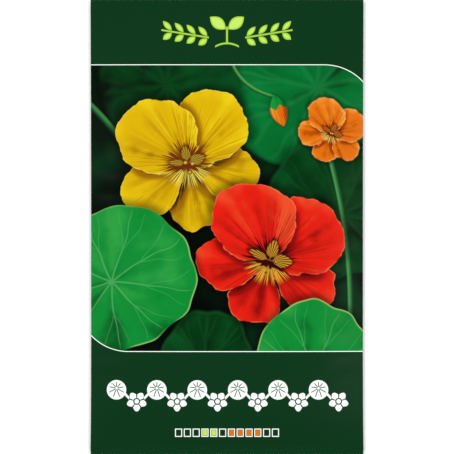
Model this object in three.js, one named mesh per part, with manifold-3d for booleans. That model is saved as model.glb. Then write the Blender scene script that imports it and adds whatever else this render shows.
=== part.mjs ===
// A flat paper seed packet, sealed, with loose nasturtium seeds in it. Millimetres, +Z up.
//
// The packet lies on its back: +Z is out of the printed front, +Y runs to the packet's top and +X to
// its right. The origin is under the middle of the packet, on the surface that it lies on.
//
// The packet is one die-cut sheet. Its front panel turns under at both sides into a left and a right
// back panel, which overlap down the middle of the back, and at both ends into a bottom flap and a
// closing flap, which lie over the back panels. Glue holds the overlap and the two flaps. Every layer
// lies flat on the next, so all levels are worked out from the thickness of the paper and of the glue.
import * as THREE from "three";
import { mergeVertices } from "three/addons/utils/BufferGeometryUtils.js";
import Module from "manifold-3d";

// Driving dimensions.
const WIDTH = 90;
const HEIGHT = 150;
const PAPER = 0.25;
const GLUE = 0.125;
const SEAM = { outerEdge: -6, innerEdge: 4, joggle: 3.25, clearance: 0.75 };
const CLOSING_FLAP = { depth: 25, taper: 9 };
const BOTTOM_FLAP = { depth: 17, taper: 6 };
const FLAP_GLUE = { depth: 8, fromEdge: 2, sideMargin: 5 };
const SEAM_GLUE = { width: 6, endMargin: 12 };
const MOUTH = { clearance: 0.3125, lap: 1 };
const FILL = { rise: 6.375, low: -30, high: 2, bow: 3.2, slack: 1.6, endRim: 2, drawIn: 0.4 };
const SEEDS = {
  size: [7.0, 6.0, 5.0],
  spread: 0.1,
  rows: 6,
  perRow: [4, 3],
  columnPitch: 12.6,
  rowPitch: 9.8,
  firstRow: -49,
  jitter: 1.1,
  clearance: 0.3,
  ribs: 7,
  ribDepth: 0.05,
  random: 77,
};
const FOLD_STEPS = 6;
const FRONT_STEPS = 24;
const LONG_STEPS = 26;

// Levels of the layers, from the surface that the packet lies on up to the rim of the front panel.
const FLAP_MID = PAPER / 2;
const BACK_LOW = PAPER + GLUE;
const BACK_MID = BACK_LOW + PAPER / 2;
const BACK_HIGH = BACK_LOW + PAPER;
const LAPPED_MID = BACK_HIGH + GLUE + PAPER / 2;
const LAPPED_HIGH = LAPPED_MID + PAPER / 2;
const FRONT_MID = LAPPED_HIGH + GLUE + PAPER / 2;

// Where the flat stretches end and the folds begin.
const SIDE_RADIUS = (FRONT_MID - BACK_MID) / 2;
const SIDE_LEVEL = (FRONT_MID + BACK_MID) / 2;
const SIDE_FOLD_X = WIDTH / 2 - SIDE_RADIUS - PAPER / 2;
const END_RADIUS = (FRONT_MID - FLAP_MID) / 2;
const END_LEVEL = (FRONT_MID + FLAP_MID) / 2;
const END_FOLD_Y = HEIGHT / 2 - END_RADIUS - PAPER / 2;
const PANEL_END_Y = END_FOLD_Y - MOUTH.clearance;

const wasm = await Module();
wasm.setup();

// Turns a geometry into a solid that can be joined or cut.
function solidOf(geometry) {
  const bare = geometry.clone();
  bare.deleteAttribute("normal");
  bare.deleteAttribute("uv");
  const merged = mergeVertices(bare, 1e-5);
  return new wasm.Manifold(
    new wasm.Mesh({
      numProp: 3,
      vertProperties: merged.attributes.position.array,
      triVerts: new Uint32Array(merged.index.array),
    }),
  );
}

// Turns a solid back into a geometry.
function geometryOf(solid) {
  const mesh = solid.getMesh();
  const geometry = new THREE.BufferGeometry();
  geometry.setAttribute("position", new THREE.BufferAttribute(mesh.vertProperties, 3));
  geometry.setIndex(new THREE.BufferAttribute(mesh.triVerts, 1));
  geometry.computeVertexNormals();
  return geometry;
}

// Repeatable random numbers from 0 to 1.
function randomFrom(seed) {
  let state = seed;
  return () => {
    state = (state + 0x6d2b79f5) | 0;
    let t = Math.imul(state ^ (state >>> 15), 1 | state);
    t = (t + Math.imul(t ^ (t >>> 7), 61 | t)) ^ t;
    return ((t ^ (t >>> 14)) >>> 0) / 4294967296;
  };
}

// How much of the full height is left at a share of the way from the fullest stretch to the rim.
const bowed = (share, power) => 1 - Math.pow(THREE.MathUtils.clamp(share, 0, 1), power);

// How full the packet is at a height y, from 0 at the rims of its ends to 1 over the seeds. Below them
// the paper is stretched tight, and above them it slopes away to the closing fold.
function fillAlong(y) {
  const rim = END_FOLD_Y - FILL.endRim;
  return y < FILL.low
    ? bowed((FILL.low - y) / (FILL.low + rim), FILL.bow)
    : bowed((y - FILL.high) / (rim - FILL.high), FILL.slack);
}

// How full the packet is across its width, from 0 at the side folds to 1 in the middle.
const fillAcross = (x) => bowed(Math.abs(x) / SIDE_FOLD_X, FILL.bow);

// The sheet's middle level on the front panel.
const frontMid = (x, y) => FRONT_MID + FILL.rise * fillAcross(x) * fillAlong(y);

// One station of the sheet: a point of its middle surface with the direction that faces out.
const station = (x, z, outX, outZ) => ({ x, z, outX, outZ });

// Half a turn of the sheet about a side fold: side is -1 at the left and 1 at the right.
function sideFold(side) {
  const stations = [];
  for (let step = 1; step < FOLD_STEPS; step += 1) {
    const turn = (Math.PI * step) / FOLD_STEPS - Math.PI / 2;
    const outX = side * Math.cos(turn);
    const outZ = -side * Math.sin(turn);
    stations.push(
      station(side * SIDE_FOLD_X + SIDE_RADIUS * outX, SIDE_LEVEL + SIDE_RADIUS * outZ, outX, outZ),
    );
  }
  return stations;
}

// The sheet across the packet at a height y, from the free edge of the left back panel, round the left
// fold, over the front and round the right fold to the free edge of the right back panel.
function sectionAt(y) {
  const joggleFrom = SEAM.outerEdge - SEAM.clearance - SEAM.joggle;
  const left = [
    station(SEAM.innerEdge, LAPPED_MID, 0, -1),
    station(SEAM.outerEdge - SEAM.clearance, LAPPED_MID, 0, -1),
    station(joggleFrom, BACK_MID, 0, -1),
    station((joggleFrom - SIDE_FOLD_X) / 2, BACK_MID, 0, -1),
    station(-SIDE_FOLD_X, BACK_MID, 0, -1),
  ];
  const front = [];
  for (let step = 0; step <= FRONT_STEPS; step += 1) {
    const x = SIDE_FOLD_X * Math.sin((Math.PI / 2) * ((2 * step) / FRONT_STEPS - 1));
    front.push(station(x, frontMid(x, y), 0, 1));
  }
  const right = [
    station(SIDE_FOLD_X, BACK_MID, 0, -1),
    station((SIDE_FOLD_X + SEAM.outerEdge) / 2, BACK_MID, 0, -1),
    station(SEAM.outerEdge, BACK_MID, 0, -1),
  ];
  const drawIn = 1 - (FILL.drawIn / SIDE_FOLD_X) * fillAlong(y);
  const section = [...left, ...sideFold(-1), ...front, ...sideFold(1), ...right];
  return section.map((s) => ({ ...s, x: s.x * drawIn }));
}

// A sheet of the paper's thickness through a grid of stations: sections[j].stations[i] lies at sections[j].y.
function sheetSolid(sections) {
  const across = sections[0].stations.length;
  const along = sections.length;
  const positions = [];
  for (const face of [1, -1]) {
    for (const { y, stations } of sections) {
      for (const s of stations) {
        positions.push(s.x + (face * s.outX * PAPER) / 2, y, s.z + (face * s.outZ * PAPER) / 2);
      }
    }
  }
  const outer = (i, j) => j * across + i;
  const inner = (i, j) => along * across + j * across + i;
  const index = [];
  const quad = (a, b, c, d) => index.push(a, b, c, a, c, d);
  for (let j = 0; j + 1 < along; j += 1) {
    for (let i = 0; i + 1 < across; i += 1) {
      quad(outer(i, j), outer(i + 1, j), outer(i + 1, j + 1), outer(i, j + 1));
      quad(inner(i, j), inner(i, j + 1), inner(i + 1, j + 1), inner(i + 1, j));
    }
    const last = across - 1;
    quad(inner(0, j), outer(0, j), outer(0, j + 1), inner(0, j + 1));
    quad(outer(last, j), inner(last, j), inner(last, j + 1), outer(last, j + 1));
  }
  for (let i = 0; i + 1 < across; i += 1) {
    const last = along - 1;
    quad(outer(i, 0), inner(i, 0), inner(i + 1, 0), outer(i + 1, 0));
    quad(inner(i, last), outer(i, last), outer(i + 1, last), inner(i + 1, last));
  }
  const geometry = new THREE.BufferGeometry();
  geometry.setAttribute("position", new THREE.BufferAttribute(new Float32Array(positions), 3));
  geometry.setIndex(index);
  return solidOf(geometry);
}

// The front panel with its side folds and the two back panels.
function wrapSolid() {
  const sections = [];
  for (let step = 0; step <= LONG_STEPS; step += 1) {
    const y = PANEL_END_Y * Math.sin((Math.PI / 2) * ((2 * step) / LONG_STEPS - 1));
    sections.push({ y, stations: sectionAt(y) });
  }
  return sheetSolid(sections);
}

// An end flap: a strip that runs on from the front panel's rim, turns under at the fold and lies over
// the back. It is drawn in side view, pushed out across the packet, and its free corners are cut away.
function flapSolid(end, flap) {
  const rimStart = PANEL_END_Y - MOUTH.lap;
  const freeEdge = HEIGHT / 2 - flap.depth;
  const side = new THREE.Shape();
  side.moveTo(rimStart, FRONT_MID + PAPER / 2);
  side.lineTo(END_FOLD_Y, FRONT_MID + PAPER / 2);
  side.absarc(END_FOLD_Y, END_LEVEL, END_RADIUS + PAPER / 2, Math.PI / 2, -Math.PI / 2, true);
  side.lineTo(freeEdge, 0);
  side.lineTo(freeEdge, PAPER);
  side.lineTo(END_FOLD_Y, PAPER);
  side.absarc(END_FOLD_Y, END_LEVEL, END_RADIUS - PAPER / 2, -Math.PI / 2, Math.PI / 2, false);
  side.lineTo(rimStart, FRONT_MID - PAPER / 2);
  const strip = new THREE.ExtrudeGeometry(side, {
    depth: 2 * SIDE_FOLD_X,
    bevelEnabled: false,
    curveSegments: FOLD_STEPS,
  });
  // The side view's first axis becomes Y and its second Z, which leaves the push along X.
  const [alongX, alongY, alongZ] = [[1, 0, 0], [0, 1, 0], [0, 0, 1]].map((v) => new THREE.Vector3(...v));
  strip.applyMatrix4(new THREE.Matrix4().makeBasis(alongY, alongZ, alongX));
  strip.translate(-SIDE_FOLD_X, 0, 0);
  const corner = new THREE.Shape([
    new THREE.Vector2(SIDE_FOLD_X + 1, END_FOLD_Y),
    new THREE.Vector2(SIDE_FOLD_X, END_FOLD_Y),
    new THREE.Vector2(SIDE_FOLD_X - flap.taper, freeEdge - 1),
    new THREE.Vector2(SIDE_FOLD_X + 1, freeEdge - 1),
  ]);
  const cutter = new THREE.ExtrudeGeometry(corner, { depth: BACK_LOW, bevelEnabled: false });
  cutter.translate(0, 0, -GLUE / 2);
  const rightCut = solidOf(cutter);
  let solid = solidOf(strip).subtract(rightCut).subtract(rightCut.mirror([1, 0, 0]));
  if (end < 0) {
    solid = solid.mirror([0, 1, 0]);
  }
  return solid;
}

// The whole folded sheet.
function makeSachet() {
  return geometryOf(wrapSolid().add(flapSolid(1, CLOSING_FLAP)).add(flapSolid(-1, BOTTOM_FLAP)));
}

// A strip of dried glue between two layers, low being the top of the layer under it.
function makeGlue(width, depth, low) {
  const geometry = new THREE.BoxGeometry(width, depth, GLUE);
  geometry.translate(0, 0, low + GLUE / 2);
  return geometry;
}

// A corky seed: an egg that is blunt at one end, flatter underneath and ribbed lengthwise.
function makeSeed() {
  const geometry = new THREE.SphereGeometry(0.5, 2 * SEEDS.ribs, 8);
  geometry.rotateZ(-Math.PI / 2);
  const at = geometry.attributes.position;
  for (let i = 0; i < at.count; i += 1) {
    const [x, y, z] = [at.getX(i), at.getY(i), at.getZ(i)];
    const rib = 1 + SEEDS.ribDepth * Math.cos(SEEDS.ribs * Math.atan2(z, y));
    const blunt = 1 - 0.3 * x;
    const under = z < 0 ? 0.85 : 1;
    at.setXYZ(i, x, y * rib * blunt, z * rib * blunt * under);
  }
  geometry.computeBoundingBox();
  const low = geometry.boundingBox.min;
  const high = geometry.boundingBox.max;
  geometry.scale(...SEEDS.size.map((size, axis) => size / (high.toArray()[axis] - low.toArray()[axis])));
  geometry.computeBoundingBox();
  geometry.translate(0, 0, -geometry.boundingBox.min.z);
  return geometry;
}

// Where each seed lies: staggered rows with a little disorder, each seed turned its own way.
function seedPlaces() {
  const random = randomFrom(SEEDS.random);
  const places = [];
  for (let row = 0; row < SEEDS.rows; row += 1) {
    const count = SEEDS.perRow[row % SEEDS.perRow.length];
    for (let column = 0; column < count; column += 1) {
      const x = (column - (count - 1) / 2) * SEEDS.columnPitch + (2 * random() - 1) * SEEDS.jitter;
      const y = SEEDS.firstRow + row * SEEDS.rowPitch + (2 * random() - 1) * SEEDS.jitter;
      places.push({ x, y, turn: random() * 2 * Math.PI, scale: 1 - SEEDS.spread * random() });
    }
  }
  return places;
}

// The level that a seed at x rests over: the lapped panel is higher than the rest of the back.
function floorUnder(x) {
  const reach = SEEDS.size[0] / 2;
  const lapFrom = SEAM.outerEdge - SEAM.clearance - SEAM.joggle;
  return x + reach > lapFrom && x - reach < SEAM.innerEdge ? LAPPED_HIGH : BACK_HIGH;
}

const printedPaper = new THREE.MeshStandardMaterial({ color: 0x123a1f, roughness: 0.45, metalness: 0 });
const driedGlue = new THREE.MeshStandardMaterial({ color: 0xe8e2cf, roughness: 0.35, metalness: 0 });
const corkySeed = new THREE.MeshStandardMaterial({ color: 0xb0905c, roughness: 0.9, metalness: 0 });

const packet = new THREE.Group();

function addPiece(name, geometry, material) {
  const mesh = new THREE.Mesh(geometry, material);
  mesh.name = name;
  packet.add(mesh);
  return mesh;
}

addPiece("sachet", makeSachet(), printedPaper);

const seamLength = 2 * (PANEL_END_Y - SEAM_GLUE.endMargin);
const seamGlue = addPiece("seam_glue", makeGlue(SEAM_GLUE.width, seamLength, BACK_HIGH), driedGlue);
seamGlue.position.x = (SEAM.outerEdge + SEAM.innerEdge) / 2;

for (const [name, end, flap] of [
  ["closing_flap_glue", 1, CLOSING_FLAP],
  ["bottom_flap_glue", -1, BOTTOM_FLAP],
]) {
  const width = 2 * (SIDE_FOLD_X - flap.taper - FLAP_GLUE.sideMargin);
  const glue = addPiece(name, makeGlue(width, FLAP_GLUE.depth, PAPER), driedGlue);
  glue.position.y = end * (HEIGHT / 2 - flap.depth + FLAP_GLUE.fromEdge + FLAP_GLUE.depth / 2);
}

seedPlaces().forEach((place, number) => {
  const name = `seed_${String(number + 1).padStart(2, "0")}`;
  const seed = addPiece(name, makeSeed(), corkySeed);
  seed.position.set(place.x, place.y, floorUnder(place.x) + SEEDS.clearance);
  seed.rotation.z = place.turn;
  seed.scale.setScalar(place.scale);
});

export default packet;
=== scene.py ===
"""Dresses the seed packet: its folded printed sheet, the seeds and glue in it, and a plain studio.

The packet lies on its back with its printed front up, X to its right and Y to its closing flap.
All sizes and all places on the print are millimetres. Finished meshes are in metres.
"""

from __future__ import annotations

import logging
import math
from collections.abc import Callable
from dataclasses import dataclass, field
from enum import Enum

import bmesh
import bpy
import numpy as np
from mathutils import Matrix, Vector

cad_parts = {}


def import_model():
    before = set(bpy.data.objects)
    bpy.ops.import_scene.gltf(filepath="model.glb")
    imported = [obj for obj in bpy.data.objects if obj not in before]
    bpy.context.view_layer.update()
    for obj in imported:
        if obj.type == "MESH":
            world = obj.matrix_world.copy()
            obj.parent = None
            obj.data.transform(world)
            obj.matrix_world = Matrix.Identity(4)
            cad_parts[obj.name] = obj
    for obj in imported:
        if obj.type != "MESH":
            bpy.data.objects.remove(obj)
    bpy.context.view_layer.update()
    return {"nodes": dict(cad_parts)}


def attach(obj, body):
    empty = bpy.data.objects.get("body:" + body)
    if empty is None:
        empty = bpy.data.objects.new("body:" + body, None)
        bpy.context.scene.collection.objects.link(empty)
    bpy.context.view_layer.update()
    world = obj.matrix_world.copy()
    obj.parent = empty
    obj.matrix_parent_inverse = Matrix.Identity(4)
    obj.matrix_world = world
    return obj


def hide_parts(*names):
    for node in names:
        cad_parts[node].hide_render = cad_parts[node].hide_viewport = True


log = logging.getLogger("seed_packet")

MM = 0.001

Colour = tuple[float, float, float, float]
Point = tuple[float, float]
Socket = bpy.types.NodeSocket

BLACK: Colour = (0.0, 0.0, 0.0, 1.0)
GROUND_GREEN = "#0b381c"
RULE_GREEN = "#6f8f6a"
PALE_LINE = "#fafdf7"
# How much of each colour comes through a film of ink.
INK_FILM = (0.730, 0.737, 0.708)
# Ties one value to another without changing it.
NEXT_TO_NOTHING = (1e-9, 1e-9, 1e-9)
# Where a palette's dark, shade, middle and light stand on its ramp.
TONES = (0.0, 0.22, 0.52, 0.9)
# Two places on the sheet this close together, in millimetres, are the same.
CLOSE = 0.001


def ink(code: str) -> Colour:
    """Turns an sRGB hex code into a linear colour.

    Args:
        code: the code, such as "#123a1f".

    Returns:
        The colour.
    """
    parts = [int(code[i : i + 2], 16) / 255 for i in (1, 3, 5)]
    red, green, blue = (((p + 0.055) / 1.055) ** 2.4 if p > 0.04045 else p / 12.92 for p in parts)
    return red, green, blue, 1.0


# ------------------------------------------------------------------ shader expressions


class Signal:
    """A number that changes over the surface. Arithmetic on it adds Math nodes."""

    def __init__(self, board: Board, socket: Socket) -> None:
        """Wraps the socket that gives the number."""
        self.board = board
        self.socket = socket

    def __add__(self, other: Signal | float) -> Signal:
        """self + other."""
        return self.board.math("ADD", self, other)

    def __sub__(self, other: Signal | float) -> Signal:
        """self - other."""
        return self.board.math("SUBTRACT", self, other)

    def __rsub__(self, other: float) -> Signal:
        """other - self."""
        return self.board.math("SUBTRACT", other, self)

    def __mul__(self, other: Signal | float) -> Signal:
        """self * other."""
        return self.board.math("MULTIPLY", self, other)

    def __truediv__(self, other: Signal | float) -> Signal:
        """self / other."""
        return self.board.math("DIVIDE", self, other)

    def __abs__(self) -> Signal:
        """The value without its sign."""
        return self.board.math("ABSOLUTE", self)

    __radd__ = __add__
    __rmul__ = __mul__


class Board:
    """A node tree, as a drawing board for expressions."""

    def __init__(self, tree: bpy.types.NodeTree) -> None:
        """Starts on an empty tree."""
        self.tree = tree

    def node(
        self,
        kind: str,
        settings: dict[str, object] | None = None,
        inputs: dict[str | int, object] | None = None,
    ) -> bpy.types.Node:
        """Adds a node.

        Args:
            kind: the node's type.
            settings: its properties, set first; "stops" holds a ramp's places and colours.
            inputs: values or links of its sockets, by name or number.

        Returns:
            The new node.
        """
        made = self.tree.nodes.new(kind)
        for key, value in (settings or {}).items():
            if key == "stops":
                self._set_stops(made.color_ramp, value)
            else:
                setattr(made, key, value)
        for key, value in (inputs or {}).items():
            if isinstance(value, Signal):
                value = value.socket
            if isinstance(value, Socket):
                self.tree.links.new(value, made.inputs[key])
            else:
                made.inputs[key].default_value = value
        return made

    @staticmethod
    def _set_stops(ramp: bpy.types.ColorRamp, stops: list[tuple[float, Colour]]) -> None:
        """Gives a ramp its places and colours, with smooth steps between them.

        Args:
            ramp: the ramp.
            stops: the places, from 0 to 1, and their colours.
        """
        ramp.interpolation = "EASE"
        while len(ramp.elements) < len(stops):
            ramp.elements.new(1.0)
        for element, (place, colour) in zip(ramp.elements, stops):
            element.position = place
            element.color = colour

    def math(self, operation: str, *values: Signal | float) -> Signal:
        """A Math node of that operation on one to three values."""
        made = self.node("ShaderNodeMath", {"operation": operation}, dict(enumerate(values)))
        return Signal(self, made.outputs[0])

    def vector(self, operation: str, *values: object) -> Socket:
        """The vector that a Vector Math node of that operation gives."""
        made = self.node("ShaderNodeVectorMath", {"operation": operation}, dict(enumerate(values)))
        return made.outputs["Vector"]

    def dot(self, vector: Socket, along: tuple[float, float, float]) -> Signal:
        """How far a vector reaches along another."""
        return self._measure("DOT_PRODUCT", vector, along)

    def least(self, first: Signal, second: Signal | float) -> Signal:
        """The smaller of two values."""
        return self.math("MINIMUM", first, second)

    def most(self, first: Signal, second: Signal | float) -> Signal:
        """The larger of two values."""
        return self.math("MAXIMUM", first, second)

    def length(self, x: Signal, y: Signal) -> Signal:
        """The length of the vector x, y."""
        return self.math("SQRT", self.math("MULTIPLY_ADD", x, x, y * y))

    def reach(self, vector: Socket) -> Signal:
        """The length of a vector."""
        return self._measure("LENGTH", vector)

    def _measure(self, operation: str, *values: object) -> Signal:
        """The number that a Vector Math node of that operation gives."""
        made = self.node("ShaderNodeVectorMath", {"operation": operation}, dict(enumerate(values)))
        return Signal(self, made.outputs["Value"])

    def ease(self, value: Signal, start: float, end: float, top: float = 1.0) -> Signal:
        """Rises smoothly from 0 to top between two values.

        Args:
            value: the value that is looked at.
            start: where the rise starts; it may be larger than end, and then it is a fall.
            end: where it ends.
            top: how high it gets.

        Returns:
            The height at the value.
        """
        inputs = {"Value": value, "From Min": start, "From Max": end, "To Max": top}
        made = self.node("ShaderNodeMapRange", {"interpolation_type": "SMOOTHSTEP"}, inputs)
        return Signal(self, made.outputs["Result"])

    def fade(self, value: Signal, span: Point, unit: float, top: float = 1.0) -> Signal:
        """Eases over a span that is given in multiples of a unit, such as a radius."""
        return self.ease(value, span[0] * unit, span[1] * unit, top)

    def ramp(self, value: Signal, stops: list[tuple[float, Colour]]) -> Socket:
        """The colour that a ramp with those stops has at a value."""
        return self.node("ShaderNodeValToRGB", {"stops": stops}, {0: value}).outputs["Color"]

    def mix(self, factor: Signal, first: object, second: object) -> Socket:
        """The colour first where factor is 0 and second where it is 1."""
        made = self.node("ShaderNodeMix", {"data_type": "RGBA"}, {0: factor, 6: first, 7: second})
        return made.outputs[2]

    def blend(self, factor: Signal, first: Signal | float, second: Signal | float) -> Signal:
        """The number first where factor is 0 and second where it is 1."""
        made = self.node("ShaderNodeMix", {"data_type": "FLOAT"}, {0: factor, 2: first, 3: second})
        return Signal(self, made.outputs[0])

    def combine(self, x: object, y: object, z: object = 0.0) -> Socket:
        """A vector of three numbers."""
        return self.node("ShaderNodeCombineXYZ", None, {0: x, 1: y, 2: z}).outputs[0]

    def noise(self, vector: Socket, scale: float, detail: float = 2.0, warp: float = 0.0) -> Signal:
        """Soft noise from 0 to 1, mostly near 0.5."""
        inputs = {"Vector": vector, "Scale": scale, "Detail": detail, "Distortion": warp}
        return Signal(self, self.node("ShaderNodeTexNoise", None, inputs).outputs[0])

    def spots(self, vector: Socket, scale: float) -> Signal:
        """The distance from the nearest of many scattered points."""
        inputs = {"Vector": vector, "Scale": scale}
        return Signal(self, self.node("ShaderNodeTexVoronoi", None, inputs).outputs["Distance"])

    def place(self) -> Socket:
        """The point of the surface in millimetres."""
        metres = self.node("ShaderNodeTexCoord").outputs["Object"]
        return self.vector("MULTIPLY", metres, (1 / MM, 1 / MM, 1 / MM))

    def split(self, vector: Socket) -> tuple[Signal, Signal]:
        """The X and Y of a vector."""
        parts = self.node("ShaderNodeSeparateXYZ", None, {0: vector}).outputs
        return Signal(self, parts[0]), Signal(self, parts[1])

    def bump(self, height: Signal, depth: float) -> Socket:
        """A normal that follows a height of 0 to 1, for a relief that is depth millimetres deep."""
        inputs = {"Height": height, "Distance": depth * MM, "Strength": 1.0}
        return self.node("ShaderNodeBump", None, inputs).outputs[0]


class Finish(Board):
    """The drawing board of a whole material."""

    def __init__(self, name: str) -> None:
        """Starts an empty material.

        Args:
            name: its name.
        """
        self.material = bpy.data.materials.new(name)
        self.material.use_nodes = True
        super().__init__(self.material.node_tree)
        self.tree.nodes.clear()

    def end(
        self,
        colour: Socket,
        roughness: Signal | float,
        normal: Socket | None = None,
        specular: float = 0.5,
    ) -> bpy.types.Material:
        """Ends the material in its shader.

        Args:
            colour: the base colour.
            roughness: from 0, mirror smooth, to 1, dull.
            normal: the bumped normal, if there is one.
            specular: how much the surface mirrors; 0.5 is usual.

        Returns:
            The finished material.
        """
        inputs = {"Base Color": colour, "Roughness": roughness, "Specular IOR Level": specular}
        if normal is not None:
            inputs["Normal"] = normal
        shader = self.node("ShaderNodeBsdfPrincipled", None, inputs)
        self.node("ShaderNodeOutputMaterial", None, {0: shader.outputs[0]})
        return self.material


# ------------------------------------------------------------------ the printed picture


@dataclass
class Canvas:
    """What is painted so far, and the point of the print that is being looked at."""

    board: Board
    point: Socket
    colour: Socket

    def local(self, centre: Point, turn: float, squash: float = 1.0) -> Socket:
        """Gives the point as a shape on the print sees it.

        Args:
            centre: the shape's middle.
            turn: how many degrees the shape is turned.
            squash: how much it is flattened along its own Y.

        Returns:
            The point, along and across the shape.
        """
        cos, sin = math.cos(math.radians(turn)), math.sin(math.radians(turn))
        board = self.board
        moved = board.vector("SUBTRACT", self.point, (*centre, 0.0))
        along = board.dot(moved, (cos, sin, 0.0))
        up = board.dot(moved, (-sin / squash, cos / squash, 0.0))
        return board.combine(along, up)

    def shade(self, distance: Signal, reach: float, strength: float) -> None:
        """Darkens what is painted so far round a shape, by the distance from its edge."""
        self.lay(self.board.ease(distance, reach, 0.0, strength), BLACK)

    def lay(self, cover: Signal, colour: object) -> None:
        """Paints colour where cover is 1."""
        self.colour = self.board.mix(cover, self.colour, colour)

    def film(self) -> None:
        """Dims what is painted so far, as a film of ink does; what comes later is bright."""
        self.colour = self.board.vector("MULTIPLY", self.colour, INK_FILM)

    def stencil(self, name: str, paint: Callable[[Canvas], None]) -> None:
        """Lets paint work in a node group of its own, because a long tree is slow to build.

        The renderer holds few values at a time. So the group hands the point on only once it
        has painted, and one group is worked out after another.

        Args:
            name: the group's name.
            paint: paints on the canvas that it is given.
        """
        tree = bpy.data.node_groups.new(name, "ShaderNodeTree")
        tree.interface.new_socket("Point", in_out="INPUT", socket_type="NodeSocketVector")
        tree.interface.new_socket("Under", in_out="INPUT", socket_type="NodeSocketColor")
        tree.interface.new_socket("Handed On", in_out="OUTPUT", socket_type="NodeSocketVector")
        tree.interface.new_socket("Painted", in_out="OUTPUT", socket_type="NodeSocketColor")
        inner = Board(tree)
        point, under = inner.node("NodeGroupInput").outputs[:2]
        canvas = Canvas(inner, point, under)
        paint(canvas)
        handed_on = inner.vector("MULTIPLY_ADD", canvas.colour, NEXT_TO_NOTHING, point)
        inner.node("NodeGroupOutput", None, {0: handed_on, 1: canvas.colour})
        inputs = {0: self.point, 1: self.colour}
        group = self.board.node("ShaderNodeGroup", {"node_tree": tree}, inputs)
        self.point, self.colour = group.outputs[:2]


@dataclass(frozen=True)
class Palette:
    """The colours of one kind of petal or leaf, from its shade to its light."""

    shade: str
    middle: str
    light: str
    line: str
    rim: str
    dark: str = "#0a0503"

    def stops(self) -> list[tuple[float, Colour]]:
        """The ramp from the dark through shade and middle to light."""
        codes = (self.dark, self.shade, self.middle, self.light)
        return [(place, ink(code)) for place, code in zip(TONES, codes)]


@dataclass(frozen=True)
class Petal:
    """One petal: a narrow claw that widens into a round head.

    Its angle is in degrees, and its lengths are shares of the bloom's radius.
    """

    angle: float
    reach: float = 1.0
    head: float = 0.44
    claw: float = 0.06
    light: float = 0.0
    guides: float = 0.0


@dataclass(frozen=True)
class Heart:
    """The middle of a bloom: dark guide lines, a fringe on the claws, striped sepals, anthers.

    Each pair is where a part fades in or out, in shares of the bloom's radius.
    """

    guide: str
    fringe: str
    sepal: str
    anther: str
    seed: float
    sepal_reach: float = 0.3
    sepal_apart: float = 1.35
    sepal_stripes: float = 9.0
    ray_scale: float = 17.0
    hair_scale: float = 26.0
    guides_thin: Point = (0.08, 0.46)
    guides_end: Point = (0.56, 0.42)
    claws: Point = (0.30, 0.10)
    fringe_start: Point = (0.10, 0.16)
    fringe_end: Point = (0.38, 0.24)
    throat: Point = (0.13, 0.04)
    anthers: Point = (0.13, 0.10)
    grain_scale: float = 11.0

    def colour(
        self, board: Board, point: Socket, ray: Socket, petals: Socket, upper: Signal, reach: float
    ) -> Socket:
        """The petals' colour with the heart laid over it.

        Args:
            board: the drawing board.
            point: the point, as the bloom sees it.
            ray: the direction of the point from the throat.
            petals: the petals' colour.
            upper: 1 on the petals that carry guide lines, 0 on those that carry the fringe.
            reach: the bloom's radius.

        Returns:
            The colour.
        """
        r = board.reach(point)
        rays = board.noise(ray, self.ray_scale, 1.0)
        limit = board.fade(r, self.guides_thin, reach, 0.42) + 0.30
        guides = board.ease(rays - limit, -0.03, 0.05) * upper
        guides = guides * board.fade(r, self.guides_end, reach)
        colour = board.mix(guides, petals, ink(self.guide))
        base = board.fade(r, self.claws, reach, 0.8) * (1.0 - upper)
        colour = board.mix(base, colour, ink(self.sepal))
        hairs = board.noise(ray, self.hair_scale, 0.0)
        tuft = board.fade(r, self.fringe_start, reach) * board.fade(r, self.fringe_end, reach)
        fringe = board.ease(hairs, 0.50, 0.56) * tuft * board.ease(upper, 0.6, 0.2)
        colour = board.mix(fringe, colour, ink(self.fringe))
        colour = board.mix(board.fade(r, self.throat, reach), colour, ink(self.guide))
        outside, stripes = self._sepals(board, point, reach)
        colour = board.mix(board.ease(outside, 0.075, 0.0, 0.75), colour, ink(self.guide))
        sepals = board.ease(outside, 0.012, -0.006) * stripes
        colour = board.mix(sepals, colour, ink(self.sepal))
        return self._with_anthers(board, point, colour, reach)

    def _with_anthers(self, board: Board, point: Socket, colour: Socket, reach: float) -> Socket:
        """Lays the anthers over the throat, each with a dark rim.

        Args:
            board: the drawing board.
            point: the point, as the bloom sees it.
            colour: the colour so far.
            reach: the bloom's radius.

        Returns:
            The colour with the anthers.
        """
        cluster = board.vector("ADD", point, (self.seed, 0.09 * reach, 0.0))
        grains = board.spots(cluster, self.grain_scale / reach)
        off = board.reach(board.vector("ADD", point, (0.0, 0.07 * reach, 0.0)))
        for start, end, code in ((0.42, 0.30, self.guide), (0.30, 0.18, self.anther)):
            anthers = board.ease(grains, start, end) * board.fade(off, self.anthers, reach)
            colour = board.mix(anthers, colour, ink(code))
        return colour

    def _sepals(self, board: Board, point: Socket, reach: float) -> tuple[Signal, Signal]:
        """The three striped sepals between the upper petals' claws and beside them, each wider.

        Args:
            board: the drawing board.
            point: the point, as the bloom sees it.
            reach: the bloom's radius.

        Returns:
            The distance from the nearest sepal as a share of the radius, below 0 inside, and 0
            in the sepals' dark stripes.
        """
        x, y = board.split(board.vector("MULTIPLY", point, (1 / reach, 1 / reach, 1.0)))
        share = board.math("ARCTAN2", x, y) / self.sepal_apart
        across = board.math("FRACT", share + 0.5) - 0.5
        r = board.length(x, y)
        half = board.ease(r, 0.02, 0.1) * (r - 0.02) * (self.sepal_reach - r)
        half = half * (1.1 / self.sepal_reach) * ((share - across) * 0.3 + 1.0)
        half = half - board.ease(abs(share), 1.4, 1.5)
        stripe = board.math("FRACT", across * self.sepal_stripes + 0.5) - 0.5
        return abs(across) * r * self.sepal_apart - half, board.ease(abs(stripe), 0.12, 0.26)


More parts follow.
